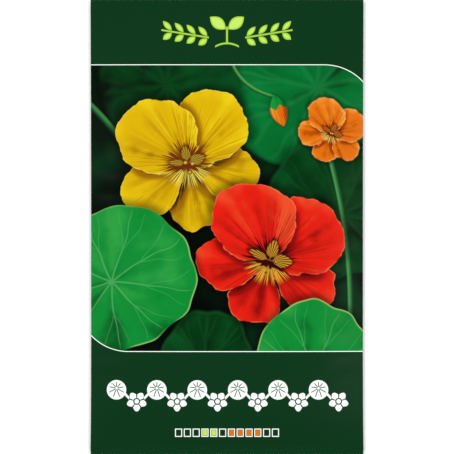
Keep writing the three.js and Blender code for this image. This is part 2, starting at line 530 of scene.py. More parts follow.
@dataclass
class Bloom:
    """A nasturtium bloom, looked into from the front: three lower petals under two upper ones.

    Each pair is where a part fades in or out, in shares of the radius, but for the pale rim,
    which is in millimetres. An upper petal shades what it overlaps.
    """

    centre: Point
    radius: float
    turn: float
    squash: float
    petals: tuple[Petal, ...]
    colours: Palette
    heart: Heart
    seed: float
    soft: float = 0.12
    shadow: float = 0.62
    ruffle: float = 0.17
    crinkle: float = 0.08
    pleat_scale: float = 3.4
    crinkle_scale: float = 5.5
    facing: float = 0.13
    light_turn: float = 60.0
    rim: Point = (-0.45, -0.12)
    overlap: Point = (0.15, 0.0)
    overlap_shade: float = 0.34
    deep: Point = (0.55, 0.12)
    veins: float = 0.5
    vein_scale: float = 9.5
    veins_thin: Point = (1.05, 0.15)
    veins_end: Point = (1.02, 0.6)
    streak_scale: float = 5.6
    streaks_start: Point = (0.22, 0.45)
    streaks_end: Point = (0.98, 0.66)

    def lay(self, canvas: Canvas) -> None:
        """Paints the bloom.

        Args:
            canvas: what it is painted on.
        """
        board, reach = canvas.board, self.radius
        point = canvas.local(self.centre, self.turn, self.squash)
        ray = board.vector("ADD", board.vector("NORMALIZE", point), (0.0, 0.0, self.seed))
        pleats = board.noise(ray, self.pleat_scale, 1.0)
        shifted = board.vector("ADD", point, (0.0, 0.0, self.seed))
        crinkle = board.noise(shifted, self.crinkle_scale / reach, 2.0)
        ruffle = (pleats - 0.5) * (-self.ruffle * reach)
        ruffle = ruffle + (crinkle - 0.5) * (-self.crinkle * reach)
        tone = upper = rim = cover = edge = None
        for petal in self.petals:
            d, side = self._outline(board, point, petal)
            d = d + ruffle
            mask = board.ease(d, self.soft, -self.soft)
            facing = math.cos(math.radians(petal.angle + self.turn + self.light_turn))
            lifted = board.ease(d, -0.2 * reach, 0.0, 0.12)
            own = board.math("MULTIPLY_ADD", side, self.facing * facing, lifted)
            own = own + (petal.light - 0.07)
            own_rim = board.ease(d, *self.rim)
            if tone is None:
                tone, upper, rim, cover, edge = own, mask * petal.guides, own_rim, mask, d
            else:
                shaded = tone - board.fade(d, self.overlap, reach, self.overlap_shade)
                tone = board.blend(mask, shaded, own)
                upper = board.blend(mask, upper, petal.guides)
                rim = board.blend(mask, rim, own_rim)
                cover = board.most(cover, mask)
                edge = board.least(edge, d)
        tone = tone + pleats * 0.85 + crinkle * 0.3
        waver = board.combine(pleats, crinkle)
        fan = board.vector("MULTIPLY_ADD", waver, (0.05, -0.05, 0.0), ray)
        rim = rim * board.ease(crinkle, 0.36, 0.62)
        colour = self._petal_colour(board, point, fan, tone, rim)
        canvas.shade(edge, 0.16 * reach, self.shadow)
        canvas.lay(cover, self.heart.colour(board, point, ray, colour, upper, reach))

    def _outline(self, board: Board, point: Socket, petal: Petal) -> tuple[Signal, Signal]:
        """The distance from a petal's edge, below 0 inside, and how far to one side a point is.

        Args:
            board: the drawing board.
            point: the point, as the bloom sees it.
            petal: the petal.

        Returns:
            The distance in millimetres, and -1 to 1 across the petal.
        """
        angle = math.radians(petal.angle)
        cos, sin = math.cos(angle), math.sin(angle)
        head, claw = petal.head * self.radius, petal.claw * self.radius
        run = petal.reach * self.radius - head
        slope = (claw - head) / run
        rise = math.sqrt(1 - slope * slope)
        along = board.dot(point, (cos, sin, 0.0))
        side = board.dot(point, (-sin, cos, 0.0))
        off = abs(side)
        flank = board.math("MULTIPLY_ADD", off, rise, along * slope - claw)
        round_head = board.length(off, along - run) - head
        past = board.math("GREATER_THAN", along * rise - off * slope, rise * run)
        return board.blend(past, flank, round_head), side / head

    def _petal_colour(
        self, board: Board, point: Socket, fan: Socket, tone: Signal, rim: Signal
    ) -> Socket:
        """The petals' own colour, with their folds, fine veins and pale rims.

        Args:
            board: the drawing board.
            point: the point, as the bloom sees it.
            fan: the direction of the point from the throat, bent a little as the veins bend.
            tone: how light each petal is.
            rim: 1 on the petals' rims.

        Returns:
            The colour.
        """
        reach = self.radius
        r = board.reach(point)
        colour = board.ramp(tone - board.fade(r, self.deep, reach, 0.16), self.colours.stops())
        veins = abs(board.noise(fan, self.vein_scale, 1.5) - 0.5)
        veins = veins - board.fade(r, self.veins_thin, reach, 0.036)
        lines = board.ease(veins, 0.018, -0.006)
        lines = lines * board.fade(r, self.veins_end, reach, self.veins)
        streaks = board.ease(board.noise(fan, self.streak_scale, 1.0), 0.54, 0.7, 0.36)
        window = board.fade(r, self.streaks_start, reach) * board.fade(r, self.streaks_end, reach)
        colour = board.mix(board.most(lines, streaks * window), colour, ink(self.colours.line))
        return board.mix(rim * 0.55, colour, ink(self.colours.rim))


@dataclass
class Bud:
    """A closed bud that hangs on its stalk, in a green calyx."""

    centre: Point
    half: Point
    turn: float
    colours: Palette
    calyx: Palette
    seed: float
    soft: float = 0.2

    def lay(self, canvas: Canvas) -> None:
        """Paints the bud.

        Args:
            canvas: what it is painted on.
        """
        board = canvas.board
        along, side = board.split(canvas.local(self.centre, self.turn))
        length, width = self.half
        share = along / length
        belly = 1.0 - share * share - share * 0.25
        d = (abs(side) / width - belly) * (0.7 * width)
        across = side / width
        folds = board.noise(board.combine(share * 0.4, across * 3.0, self.seed), 1.6, 2.0)
        tone = folds * 0.8 + across * 0.22 + 0.1
        sepals = board.math("SINE", across * 5.0) * 0.12 + (share - 0.05)
        colour = board.mix(
            board.ease(sepals, -0.04, 0.04),
            board.ramp(tone, self.colours.stops()),
            board.ramp(tone, self.calyx.stops()),
        )
        canvas.shade(d, 0.4 * width, 0.4)
        canvas.lay(board.ease(d, self.soft, -self.soft), colour)


@dataclass
class Leaf:
    """A round nasturtium leaf with veins that run out from a pale hub.

    The hub lies off its middle by lean, wobble and scallop wave its rim, and its veins fork
    from fork_from on, all in shares of its radius.
    """

    hub: Point
    radius: float
    turn: float
    squash: float
    colours: Palette
    seed: float
    veins: int = 9
    soft: float = 0.15
    vein_ink: float = 0.42
    rim_ink: float = 0.7
    shadow: float = 0.6
    lean: float = 0.12
    wobble: float = 0.30
    scallop: float = 0.012
    fork_from: float = 0.45
    fork_slope: float = 0.36
    light: float = 0.0

    def lay(self, canvas: Canvas) -> None:
        """Paints the leaf.

        Args:
            canvas: what it is painted on.
        """
        board, reach = canvas.board, self.radius
        local = canvas.local(self.hub, self.turn, self.squash)
        x, y = board.split(local)
        point = board.vector("ADD", local, (0.0, 0.0, self.seed))
        ray = board.vector("ADD", board.vector("NORMALIZE", local), (self.seed, 0.0, 0.0))
        angle = board.math("ARCTAN2", y, x)
        r = board.length(x, y)
        rim = board.noise(ray, 1.7, 1.0) * (self.wobble * reach)
        rim = rim + board.math("COSINE", angle * float(self.veins)) * (self.scallop * reach)
        rim = rim + board.math("COSINE", angle) * (self.lean * reach)
        rim = rim + (1.0 - self.wobble / 2) * reach
        d = r - rim
        wander = board.noise(point, 0.07, 1.0)
        cell = board.math("FRACT", angle * (self.veins / math.tau) + wander * 0.5) - 0.5
        off = abs(cell)
        lateral = off * r * (math.tau / self.veins)
        colour = self._blade(board, point, y, cell, off, wander)
        colour = board.mix(self._lines(board, r, d, lateral), colour, ink(self.colours.line))
        rim_line = board.ease(d, -0.5 - self.soft, -0.12)
        rim_line = rim_line * board.ease(wander, 0.36, 0.6, self.rim_ink)
        colour = board.mix(rim_line, colour, ink(self.colours.rim))
        canvas.shade(d, 0.16 * reach, self.shadow)
        canvas.lay(board.ease(d, self.soft, -self.soft), colour)

    def _blade(
        self, board: Board, point: Socket, up: Signal, cell: Signal, off: Signal, wander: Signal
    ) -> Socket:
        """The colour between the veins, where the blade swells up a little.

        Args:
            board: the drawing board.
            point: the point, as the leaf sees it.
            up: how far up the leaf the point is.
            cell: -0.5 to 0.5 across the stretch that one vein feeds.
            off: the same without its sign.
            wander: soft large noise.

        Returns:
            The colour.
        """
        patches = board.noise(point, 0.16, 2.0)
        swell = board.math("SINE", cell * math.tau) * 0.07
        tone = patches * 0.42 + wander * 0.62 + swell + off * 0.16
        tone = tone + up * (0.14 / self.radius) + (self.light - 0.04)
        return board.ramp(tone, self.colours.stops())

    def _lines(self, board: Board, r: Signal, d: Signal, lateral: Signal) -> Signal:
        """How much of the vein colour shows: main veins, and forks that leave them halfway out.

        Args:
            board: the drawing board.
            r: the distance from the hub.
            d: the distance from the leaf's edge.
            lateral: the distance from the nearest main vein.

        Returns:
            The vein colour's share.
        """
        reach = self.radius
        width = board.ease(r, 0.9 * reach, 0.0, 0.16) + 0.03
        main = board.ease(lateral - width, 0.10 + self.soft, -0.05)
        fork = abs(lateral - (r - self.fork_from * reach) * self.fork_slope) - width * 0.4
        forks = board.ease(fork, 0.10 + self.soft, -0.05)
        forks = forks * board.fade(r, (0.42, 0.5), reach, 0.6)
        hub = board.fade(r, (0.045, 0.02), reach)
        lines = board.most(board.most(main, forks), hub)
        return lines * board.ease(d, 0.0, -0.14 * reach, self.vein_ink)


@dataclass
class Stem:
    """A stem that bows between two points."""

    start: Point
    end: Point
    bow: float
    width: float
    shade: str
    light: str
    soft: float = 0.15

    def lay(self, canvas: Canvas) -> None:
        """Paints the stem.

        Args:
            canvas: what it is painted on.
        """
        board = canvas.board
        reach = Vector(self.end) - Vector(self.start)
        turn = math.degrees(math.atan2(reach.y, reach.x))
        along, side = board.split(canvas.local(self.start, turn))
        share = along / reach.length
        bowed = side - share * (1.0 - share) * (4 * self.bow)
        ends = board.ease(share, -0.02, 0.0) * board.ease(share, 1.02, 1.0)
        half = self.width / 2
        colour = board.mix(board.ease(bowed, -half, half), ink(self.shade), ink(self.light))
        canvas.lay(board.ease(abs(bowed) - half, self.soft, -self.soft) * ends, colour)


RED = Palette("#8f0808", "#e81f10", "#f0502a", "#9c0a0e", "#f58e60")
YELLOW = Palette("#9a6802", "#dfb404", "#f2d416", "#a87206", "#f2de6a")
ORANGE = Palette("#a33a02", "#e8720c", "#f9a63a", "#b04a04", "#fbd08a")
NEAR_LEAF = Palette("#03591f", "#0c8c36", "#30a344", "#6cc27c", "#b4da78", "#021206")
FAR_LEAF = Palette("#02300f", "#026a2c", "#06803a", "#2f9a5a", "#2c9250", "#010702")
DEEP_LEAF = Palette("#011005", "#023512", "#064d1e", "#1a6632", "#1f6a34", "#010401")
STEM_SHADE = "#0b3c1a"


def bloom_petals(spread: float = 0.0, upper: float = 1.0) -> tuple[Petal, ...]:
    """The five petals of a bloom, the lowest layer first.

    Args:
        spread: how many degrees the lower petals are spread apart.
        upper: how large the upper petals are.

    Returns:
        The petals.
    """
    return (
        Petal(-92 + spread, reach=0.94, head=0.35, claw=0.04, light=-0.04),
        Petal(-22 - spread, reach=0.96, head=0.38, claw=0.04, light=-0.02),
        Petal(204 + spread, reach=0.96, head=0.38, claw=0.04),
        Petal(51, reach=1.06 * upper, head=0.51 * upper, claw=0.10, light=0.02, guides=1.0),
        Petal(127, reach=1.08 * upper, head=0.52 * upper, claw=0.10, light=0.06, guides=1.0),
    )


RED_HEART = Heart("#36030c", "#e6a62e", "#c8922a", "#d9a838", 2.2)
YELLOW_HEART = Heart("#6e2a0a", "#f0d95e", "#a8962c", "#c9aa3c", 5.1, sepal_reach=0.24)
ORANGE_HEART = Heart("#6a1606", "#f7cf62", "#b8701c", "#f2c850", 3.4)


def garden() -> list[Leaf | Stem | Bloom | Bud]:
    """Lays out the picture.

    Returns:
        What it shows, from the back to the front.
    """
    return [
        Leaf((30, 46), 27, -160, 0.9, FAR_LEAF, 3.1, soft=1.1, vein_ink=0.2, rim_ink=0.15),
        Leaf((-20, 47), 25, -60, 0.85, DEEP_LEAF, 7.7, soft=1.4, vein_ink=0.14, rim_ink=0.1),
        Leaf((38, 4), 24, 140, 0.9, DEEP_LEAF, 5.2, soft=0.9, vein_ink=0.18, rim_ink=0.25),
        Leaf((-7, -46), 17, 80, 0.85, DEEP_LEAF, 2.9, soft=0.8, vein_ink=0.2, rim_ink=0.3),
        Stem((-46, 41), (-20, -14), 6.0, 1.9, STEM_SHADE, "#3f8f4a", soft=0.5),
        Stem((40, -44), (31, 33), -4.0, 1.7, STEM_SHADE, "#4a9a52", soft=0.3),
        Stem((0, 60), (15.2, 42.9), -4.0, 1.2, STEM_SHADE, "#5aa652", soft=0.3),
        Bud((16.8, 39.0), (5.4, 2.6), 108, ORANGE, NEAR_LEAF, 6.1, soft=0.3),
        Bloom((34.5, 31), 12.0, -24, 0.88, bloom_petals(4), ORANGE, ORANGE_HEART, 4.4, soft=0.3),
        Bloom((-13, 21), 25.5, 10, 0.94, bloom_petals(2), YELLOW, YELLOW_HEART, 1.3),
        Bloom((14, -11), 25.5, -16, 0.92, bloom_petals(-3, 1.04), RED, RED_HEART, 9.6),
        Leaf((-38, -18), 25, 25, 0.92, NEAR_LEAF, 2.6, light=0.03),
        Leaf((29, -49), 22, 100, 0.9, NEAR_LEAF, 8.3),
    ]


# ------------------------------------------------------------------ the printed ornaments


@dataclass(frozen=True)
class VineBand:
    """A white band of a waving vine, with round leaves above it and small blooms below it."""

    centre: Point = (0.2, -55.5)
    period: float = 13.3
    periods: int = 6
    wave: float = 2.3
    stroke: float = 0.36
    stand: float = 1.9
    leaf_radius: float = 3.2
    leaf_rim: Point = (-0.75, -0.6)
    hub: float = 0.55
    hub_dot: Point = (0.5, 0.35)
    veins: int = 9
    vein: Point = (0.08, 0.22)
    bloom_radius: float = 2.8
    bloom_lobe: float = 0.5
    bloom_ring: float = 0.95
    petals: int = 5
    soft: float = 0.1
    colour: str = "#e6ece6"

    def lay(self, canvas: Canvas) -> None:
        """Prints the band, with the vine behind its leaves and blooms.

        Args:
            canvas: what it is printed on.
        """
        board = canvas.board
        x, y = board.split(board.vector("SUBTRACT", canvas.point, (*self.centre, 0.0)))
        turns = x / self.period
        across = (board.math("FRACT", turns + 0.5 * (self.periods % 2)) - 0.5) * self.period
        leaf, leaf_bare = self._leaf(board, across + self.period / 4, y - self.stand)
        bloom, bloom_bare = self._bloom(board, across - self.period / 4, y + self.stand)
        half = self.period * self.periods / 2
        inner = half - self.period / 4
        vine = self._vine(board, turns, y) * board.ease(abs(x), inner + self.soft, inner)
        vine = vine * leaf_bare * bloom_bare
        shapes = board.most(board.most(vine, leaf), bloom)
        canvas.lay(shapes * board.ease(abs(x), half + self.soft, half), ink(self.colour))

    def _vine(self, board: Board, turns: Signal, y: Signal) -> Signal:
        """The waving vine.

        Args:
            board: the drawing board.
            turns: how many waves the point is along the band.
            y: how high it is above the vine's middle.

        Returns:
            How much ink the vine takes.
        """
        slant = math.tau * self.wave / self.period
        steep = board.math("COSINE", turns * math.tau) * slant
        off = abs(y - board.math("SINE", turns * math.tau) * self.wave)
        return board.ease(off / board.length(steep, 1.0) - self.stroke, 0.12, -0.12)

    def _leaf(self, board: Board, x: Signal, y: Signal) -> tuple[Signal, Signal]:
        """A round leaf with veins left bare that run out from a hub above its middle.

        Args:
            board: the drawing board.
            x: the point's X from the leaf's middle.
            y: the point's Y from the leaf's middle.

        Returns:
            How much ink it takes, and 0 where it hides the vine.
        """
        edge = board.length(x, y) - self.leaf_radius
        up = y - self.hub
        r = board.length(x, up)
        share = board.math("ARCTAN2", x, up) * (self.veins / math.tau)
        off = abs(board.math("FRACT", share + 0.5) - 0.5) * r * (math.tau / self.veins)
        vein = board.ease(off, *self.vein)
        whole = board.most(board.ease(r, *self.hub_dot), board.ease(edge, *self.leaf_rim))
        shape = board.ease(edge, self.soft, -self.soft) * board.most(vein, whole)
        return shape, board.ease(edge, -0.2, 0.0)

    def _bloom(self, board: Board, x: Signal, y: Signal) -> tuple[Signal, Signal]:
        """A bloom of round petals, bare between them and round its heart.

        Args:
            board: the drawing board.
            x: the point's X from the bloom's middle.
            y: the point's Y from the bloom's middle.

        Returns:
            How much ink it takes, and 0 where it hides the vine.
        """
        r = board.length(x, y)
        turn = board.math("ARCTAN2", y, x) * float(self.petals) + math.pi / 2
        petals = board.math("COSINE", turn) * self.bloom_lobe + (self.bloom_radius - r)
        between = board.ease(board.math("COSINE", turn) * r + r, 0.05, 0.5)
        ring = board.ease(abs(r - self.bloom_ring), 0.12, 0.3)
        whole = board.most(between, board.ease(r, 1.3, 1.1))
        shape = board.ease(petals, -self.soft, self.soft) * whole * ring
        return shape, board.ease(r, self.bloom_radius - 0.3, self.bloom_radius)


@dataclass(frozen=True)
class MonthStrip:
    """A row of small boxes, one for each month, with those for sowing and blooming filled."""

    centre: Point
    pitch: float = 2.9
    box: Point = (2.3, 2.7)
    stroke: float = 0.13
    inset: Point = (-0.35, -0.5)
    soft: float = 0.08
    months: int = 12
    sowing: tuple[int, int] = (3, 5)
    blooming: tuple[int, int] = (6, 10)
    outline: str = PALE_LINE
    sow: str = "#afd44b"
    bloom: str = "#d06808"

    def lay(self, canvas: Canvas) -> None:
        """Prints the strip.

        Args:
            canvas: what it is printed on.
        """
        board = canvas.board
        x, y = board.split(board.vector("SUBTRACT", canvas.point, (*self.centre, 0.0)))
        cells = x / self.pitch + self.months / 2
        month = board.math("FLOOR", cells)
        across = abs(cells - month - 0.5) * self.pitch - self.box[0] / 2
        d = board.most(across, abs(y) - self.box[1] / 2)
        d = board.most(d, abs(x) - self.pitch * self.months / 2)
        inside = board.ease(d, *self.inset)
        canvas.lay(inside * self._among(board, month, self.sowing), ink(self.sow))
        canvas.lay(inside * self._among(board, month, self.blooming), ink(self.bloom))
        line = board.ease(abs(d + self.stroke) - self.stroke, self.soft, -self.soft)
        canvas.lay(line, ink(self.outline))

    @staticmethod
    def _among(board: Board, month: Signal, months: tuple[int, int]) -> Signal:
        """1 in the boxes from the first month up to the last."""
        after = board.math("GREATER_THAN", month, months[0] - 0.5)
        return after * board.math("LESS_THAN", month, months[1] - 0.5)


@dataclass(frozen=True)
class Sprig:
    """A seedling with two seed leaves, between two leafy twigs that mirror each other.

    A leaf is given by half its length and half its width, and a line by half its width.
    """

    centre: Point = (0.0, 65.0)
    seed_leaf: Point = (3.3, 1.9)
    seed_leaf_at: Point = (3.0, 2.2)
    seed_leaf_turn: float = 38.0
    stalk: float = 0.32
    stalk_reach: float = 2.8
    stalk_drop: float = 1.8
    soil: float = 0.3
    soil_reach: float = 3.9
    soil_drop: float = 4.5
    soil_curve: float = 0.07
    twig: float = 0.28
    twig_span: Point = (6.0, 21.6)
    twig_drop: float = 2.6
    twig_slope: float = 0.16
    leaf: Point = (1.95, 0.95)
    leaf_off: float = 1.75
    leaf_turn: float = 42.0
    pitch: float = 3.9
    soft: float = 0.1
    core_at: Point = (-0.3, -0.5)
    outer: str = "#96bf3c"
    core: str = "#b0d25e"

    def lay(self, canvas: Canvas) -> None:
        """Prints the sprig, with the leaves' cores lighter than their rims.

        Args:
            canvas: what it is printed on.
        """
        board = canvas.board
        x, y = board.split(board.vector("SUBTRACT", canvas.point, (*self.centre, 0.0)))
        out = abs(x)
        leaf_x, leaf_y = self.seed_leaf_at
        seed_leaf = self._blade(
            board, out - leaf_x, y - leaf_y, self.seed_leaf_turn, self.seed_leaf
        )
        stalk = board.most(out - self.stalk, abs(y + self.stalk_drop) - self.stalk_reach)
        bowed = board.math("MULTIPLY_ADD", out, out * self.soil_curve, y + self.soil_drop)
        soil = board.most(abs(bowed) - self.soil, out - self.soil_reach)
        twig, pair = self._twig(board, out, y)
        leaves = board.least(seed_leaf, pair)
        lines = board.least(board.least(stalk, soil), twig)
        shapes = board.ease(board.least(leaves, lines), self.soft, -self.soft)
        canvas.lay(shapes, ink(self.outer))
        canvas.lay(board.ease(leaves, *self.core_at), ink(self.core))

    def _twig(self, board: Board, out: Signal, y: Signal) -> tuple[Signal, Signal]:
        """A twig that rises outwards, with its leaves in pairs.

        Args:
            board: the drawing board.
            out: the distance from the sprig's middle to either side.
            y: the height above its middle.

        Returns:
            The distances from the twig's edge and from its leaves' edges, below 0 inside.
        """
        start, end = self.twig_span
        arch = y + self.twig_drop - (out - start) * self.twig_slope
        beyond = abs(out - (start + end) / 2) - (end - start) / 2
        along = (board.math("FRACT", (out - start) / self.pitch) - 0.5) * self.pitch
        pair = self._blade(board, along, abs(arch) - self.leaf_off, self.leaf_turn, self.leaf)
        return board.most(abs(arch) - self.twig, beyond), board.most(pair, beyond)

    @staticmethod
    def _blade(board: Board, x: Signal, y: Signal, turn: float, half: Point) -> Signal:
        """About the distance from a pointed oval's edge, below 0 inside.

        Args:
            board: the drawing board.
            x: the point's X from the oval's middle.
            y: the point's Y from the oval's middle.
            turn: how many degrees the oval is turned.
            half: half its length and half its width.

        Returns:
            The distance.
        """
        cos, sin = math.cos(math.radians(turn)), math.sin(math.radians(turn))
        along = (x * cos + y * sin) / half[0]
        side = abs(y * cos - x * sin) / half[1]
        return (side + along * along - 1.0) * (0.8 * half[1])


@dataclass
class FrontPrint:
    """The print of the front: a dark green ground, ornaments, and a picture in a thin frame.

    Each round corner is given by its middle's X and its radius, and line is half the frame's
    width.
    """

    ground: str = GROUND_GREEN
    frame: str = PALE_LINE
    top: float = 53.43
    bottom: float = -40.97
    line: float = 0.11
    soft: float = 0.05
    upper_corner: Point = (32.03, 17.6)
    lower_corner: Point = (-32.6, 16.75)
    strip: Point = (0.0, -67.75)
    haze: tuple[str, str, str] = ("#010301", "#021206", "#053016")
    haze_scale: float = 0.035

    def _frame_distance(self, board: Board, point: Socket) -> Signal:
        """The distance from the frame's middle line.

        Args:
            board: the drawing board.
            point: the point of the print.

        Returns:
            The distance, below 0 inside the picture.
        """
        x, y = board.split(point)
        corner_x, radius = self.upper_corner
        upper_y = self.top - radius
        upper = board.length(board.most(x - corner_x, 0.0), board.most(y - upper_y, 0.0)) - radius
        corner_x, radius = self.lower_corner
        lower_y = self.bottom + radius
        lower = board.length(board.most(corner_x - x, 0.0), board.most(lower_y - y, 0.0)) - radius
        return board.most(upper, lower)

    def _mount(self, canvas: Canvas) -> None:
        """Prints the ground round the picture, and the frame's line between them.

        Args:
            canvas: what they are printed on.
        """
        board = canvas.board
        d = self._frame_distance(board, canvas.point)
        canvas.lay(board.ease(d, -self.soft, self.soft), ink(self.ground))
        canvas.film()
        canvas.lay(board.ease(abs(d) - self.line, self.soft, -self.soft), ink(self.frame))

    def colour(self, board: Board, point: Socket) -> Socket:
        """Prints the whole front.

        Args:
            board: the drawing board.
            point: the point of the print.

        Returns:
            The print's colour.
        """
        stops = [(place, ink(code)) for place, code in zip((0.35, 0.5, 0.65), self.haze)]
        canvas = Canvas(board, point, board.ramp(board.noise(point, self.haze_scale), stops))
        for number, thing in enumerate(garden()):
            canvas.stencil(f"picture_{number:02d}_{type(thing).__name__.lower()}", thing.lay)
        canvas.stencil("frame", self._mount)
        canvas.stencil("vine_band", VineBand().lay)
        canvas.stencil("month_strip", MonthStrip(self.strip).lay)
        canvas.stencil("sprig", Sprig().lay)
        return canvas.colour


@dataclass
class BackPrint:
    """The print of the back: the dark green ground, and a pale panel ruled for notes.

    Places on the panel count from its middle. The border line lies inset millimetres inside
    its edge.
    """

    ground: str = GROUND_GREEN
    mottle: str = "#1d5a30"
    panel: str = "#eceddb"
    rule: str = RULE_GREEN
    middle: Point = (0.0, -3.0)
    half: Point = (38.0, 46.0)
    corner: float = 5.0
    soft: float = 0.08
    inset: float = 1.6
    border: float = 0.15
    rule_pitch: float = 7.0
    rule_half: float = 31.8
    rules: Point = (-40.9, 13.9)
    strip: MonthStrip = MonthStrip(
        (0.0, 22.0), 5.2, (4.4, 5.0), 0.15, outline=RULE_GREEN, sow="#7fae3a"
    )

    def colour(self, board: Board, point: Socket) -> Socket:
        """Prints the whole back.

        Args:
            board: the drawing board.
            point: the point of the print.

        Returns:
            The print's colour.
        """
        x, y = board.split(board.vector("SUBTRACT", point, (*self.middle, 0.0)))
        over_x = board.most(abs(x) - (self.half[0] - self.corner), 0.0)
        over_y = board.most(abs(y) - (self.half[1] - self.corner), 0.0)
        d = board.length(over_x, over_y) - self.corner
        mottle = board.ease(board.noise(point, 0.4), 0.3, 0.7, 0.06)
        canvas = Canvas(board, point, board.mix(mottle, ink(self.ground), ink(self.mottle)))
        canvas.lay(board.ease(d, self.soft, -self.soft), ink(self.panel))
        line = board.ease(abs(d + self.inset) - self.border, self.soft, -self.soft)
        canvas.lay(line, ink(self.rule))
        off_rule = abs(board.math("FRACT", y / self.rule_pitch) - 0.5) * self.rule_pitch
        ruled = board.ease(off_rule, 0.18, 0.08)
        ruled = ruled * board.ease(abs(x), self.rule_half + 0.2, self.rule_half)
        lowest, highest = self.rules
        ruled = ruled * board.ease(y, highest + 0.1, highest)
        ruled = ruled * board.ease(y, lowest - 0.1, lowest)
        canvas.lay(ruled * 0.7, ink(self.rule))
        canvas.stencil("back_month_strip", self.strip.lay)
        canvas.film()
        return canvas.colour


# ------------------------------------------------------------------ finishes


@dataclass(frozen=True)
class CoatedPaper:
    """Smooth printed paper: a soft gloss, faint fibres, and ink rubbed a little at the folds."""

    roughness: float = 0.32
    specular: float = 0.04
    fibre: float = 0.012
    cockle: float = 0.10
    rubbed: str = "#7c8f79"
    rubbed_from: Point = (44.55, 74.55)
    wear: float = 0.04

    def cover(self, name: str, maker: FrontPrint | BackPrint) -> bpy.types.Material:
        """The paper with a print on it.

        Args:
            name: the material's name.
            maker: what is printed on it.

        Returns:
            The material.
        """
        board = Finish(name)
        point = board.place()
        colour = maker.colour(board, point)
        x, y = board.split(point)
        edge = board.most(abs(x) - self.rubbed_from[0], abs(y) - self.rubbed_from[1])
        scuffs = board.noise(point, 1.6, 3.0)
        worn = board.ease(edge, 0.25, 0.45) * board.ease(scuffs, 0.4, 0.8, self.wear)
        colour = board.mix(worn, colour, ink(self.rubbed))
        rough = board.noise(point, 0.5, 2.0) * 0.12 + (self.roughness - 0.06)
        fibres = board.bump(board.noise(point, 4.0, 2.0), self.fibre)
        cockle = board.noise(point, 0.09, 1.0)
        inputs = {"Height": cockle, "Distance": self.cockle * MM, "Normal": fibres}
        normal = board.node("ShaderNodeBump", None, inputs).outputs[0]
        return board.end(colour, rough, normal, self.specular)


@dataclass(frozen=True)
class RawPaper:
    """The unprinted side of the sheet and its cut edges."""

    light: str = "#efebdf"
    shade: str = "#dcd5c2"

    def cover(self) -> bpy.types.Material:
        """Makes the bare paper's material.

        Returns:
            The material.
        """
        board = Finish("raw_paper")
        point = board.place()
        fibres = board.noise(point, 1.3, 3.0)
        colour = board.mix(board.ease(fibres, 0.3, 0.7), ink(self.shade), ink(self.light))
        return board.end(colour, 0.85, board.bump(board.noise(point, 3.0, 2.0), 0.02), 0.3)


@dataclass(frozen=True)
class DriedGlue:
    """Paper glue that has dried to a thin milky film."""

    light: str = "#eee9d8"
    shade: str = "#e0d7b8"

    def cover(self) -> bpy.types.Material:
        """Makes the glue's material.

        Returns:
            The material.
        """
        board = Finish("dried_glue_film")
        point = board.place()
        streaks = board.noise(board.vector("MULTIPLY", point, (0.9, 0.25, 0.9)), 1.0, 3.0)
        colour = board.mix(board.ease(streaks, 0.35, 0.65), ink(self.shade), ink(self.light))
        return board.end(colour, streaks * 0.3 + 0.2, board.bump(streaks, 0.03))


@dataclass(frozen=True)
class SeedHusk:
    """The dry corky husk of a nasturtium seed: tan, darker where the husk lies lower."""

    ridge: str = "#c9a873"
    husk: str = "#a98450"
    groove: str = "#6b4c2a"

    def cover(self) -> bpy.types.Material:
        """Makes the husk's material.

        Returns:
            The material.
        """
        board = Finish("seed_husk_cork")
        point = board.place()
        wrinkles = board.noise(point, 1.1, 3.0, 0.4)
        pits = board.spots(point, 2.2)
        tone = wrinkles * 0.8 + pits * 0.3
        stops = [(0.3, ink(self.groove)), (0.5, ink(self.husk)), (0.75, ink(self.ridge))]
        return board.end(board.ramp(tone, stops), 0.9, board.bump(tone, 0.12), 0.2)


# ------------------------------------------------------------------ the packet's pieces


class Side(Enum):
    """The left or the right of the packet."""

    LEFT = -1
    RIGHT = 1


class End(Enum):
    """The bottom or the closing end of the packet."""

    BOTTOM = -1
    CLOSING = 1


class Face(Enum):
    """The sheet's material slots; solidifying it moves each face on by RAW for its inside."""

    FRONT = 0
    BACK = 1
    RAW = 2


def deselect_all() -> None:
    """Leaves no object selected, out of edit mode."""
    if bpy.context.object and bpy.context.object.mode != "OBJECT":
        bpy.ops.object.mode_set(mode="OBJECT")
    bpy.ops.object.select_all(action="DESELECT")


def pick_edges(piece: bpy.types.Object, fits: Callable[[Vector], bool]) -> None:
    """Selects just the edges of a piece in edit mode whose two ends fit.

    Args:
        piece: the piece.
        fits: says whether a place fits.
    """
    mesh = bmesh.from_edit_mesh(piece.data)
    bpy.ops.mesh.select_all(action="DESELECT")
    for edge in mesh.edges:
        edge.select_set(all(fits(vertex.co) for vertex in edge.verts))
    bmesh.update_edit_mesh(piece.data)


def move_vertices(piece: bpy.types.Object, moved: Callable[[np.ndarray], np.ndarray]) -> None:
    """Gives the vertices of a piece in object mode new places.

    Args:
        piece: the piece.
        moved: works the new places out from the old ones.
    """
    places = np.empty(len(piece.data.vertices) * 3)
    piece.data.vertices.foreach_get("co", places)
    places = moved(places.reshape(-1, 3))
    piece.data.vertices.foreach_set("co", places.ravel())
    piece.data.update()


def settle(piece: bpy.types.Object, name: str, slot: str, *replaced: str) -> None:
    """Names a finished piece, shrinks its millimetres to metres and hands it to the frame.

    Args:
        piece: the piece, modelled at the origin with one unit to the millimetre.
        name: its name.
        slot: a name for its finish, which is only written to the log.
        replaced: the CAD nodes that it stands for.
    """
    deselect_all()
    bpy.context.view_layer.objects.active = piece
    piece.select_set(True)
    bpy.ops.transform.resize(value=(MM, MM, MM), center_override=(0.0, 0.0, 0.0))
    bpy.ops.object.transform_apply(location=True, rotation=True, scale=True)
    piece.name = piece.data.name = name
    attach(piece, "root")
    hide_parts(*replaced)
    log.info("%s: %d faces in slot %s", name, len(piece.data.polygons), slot)


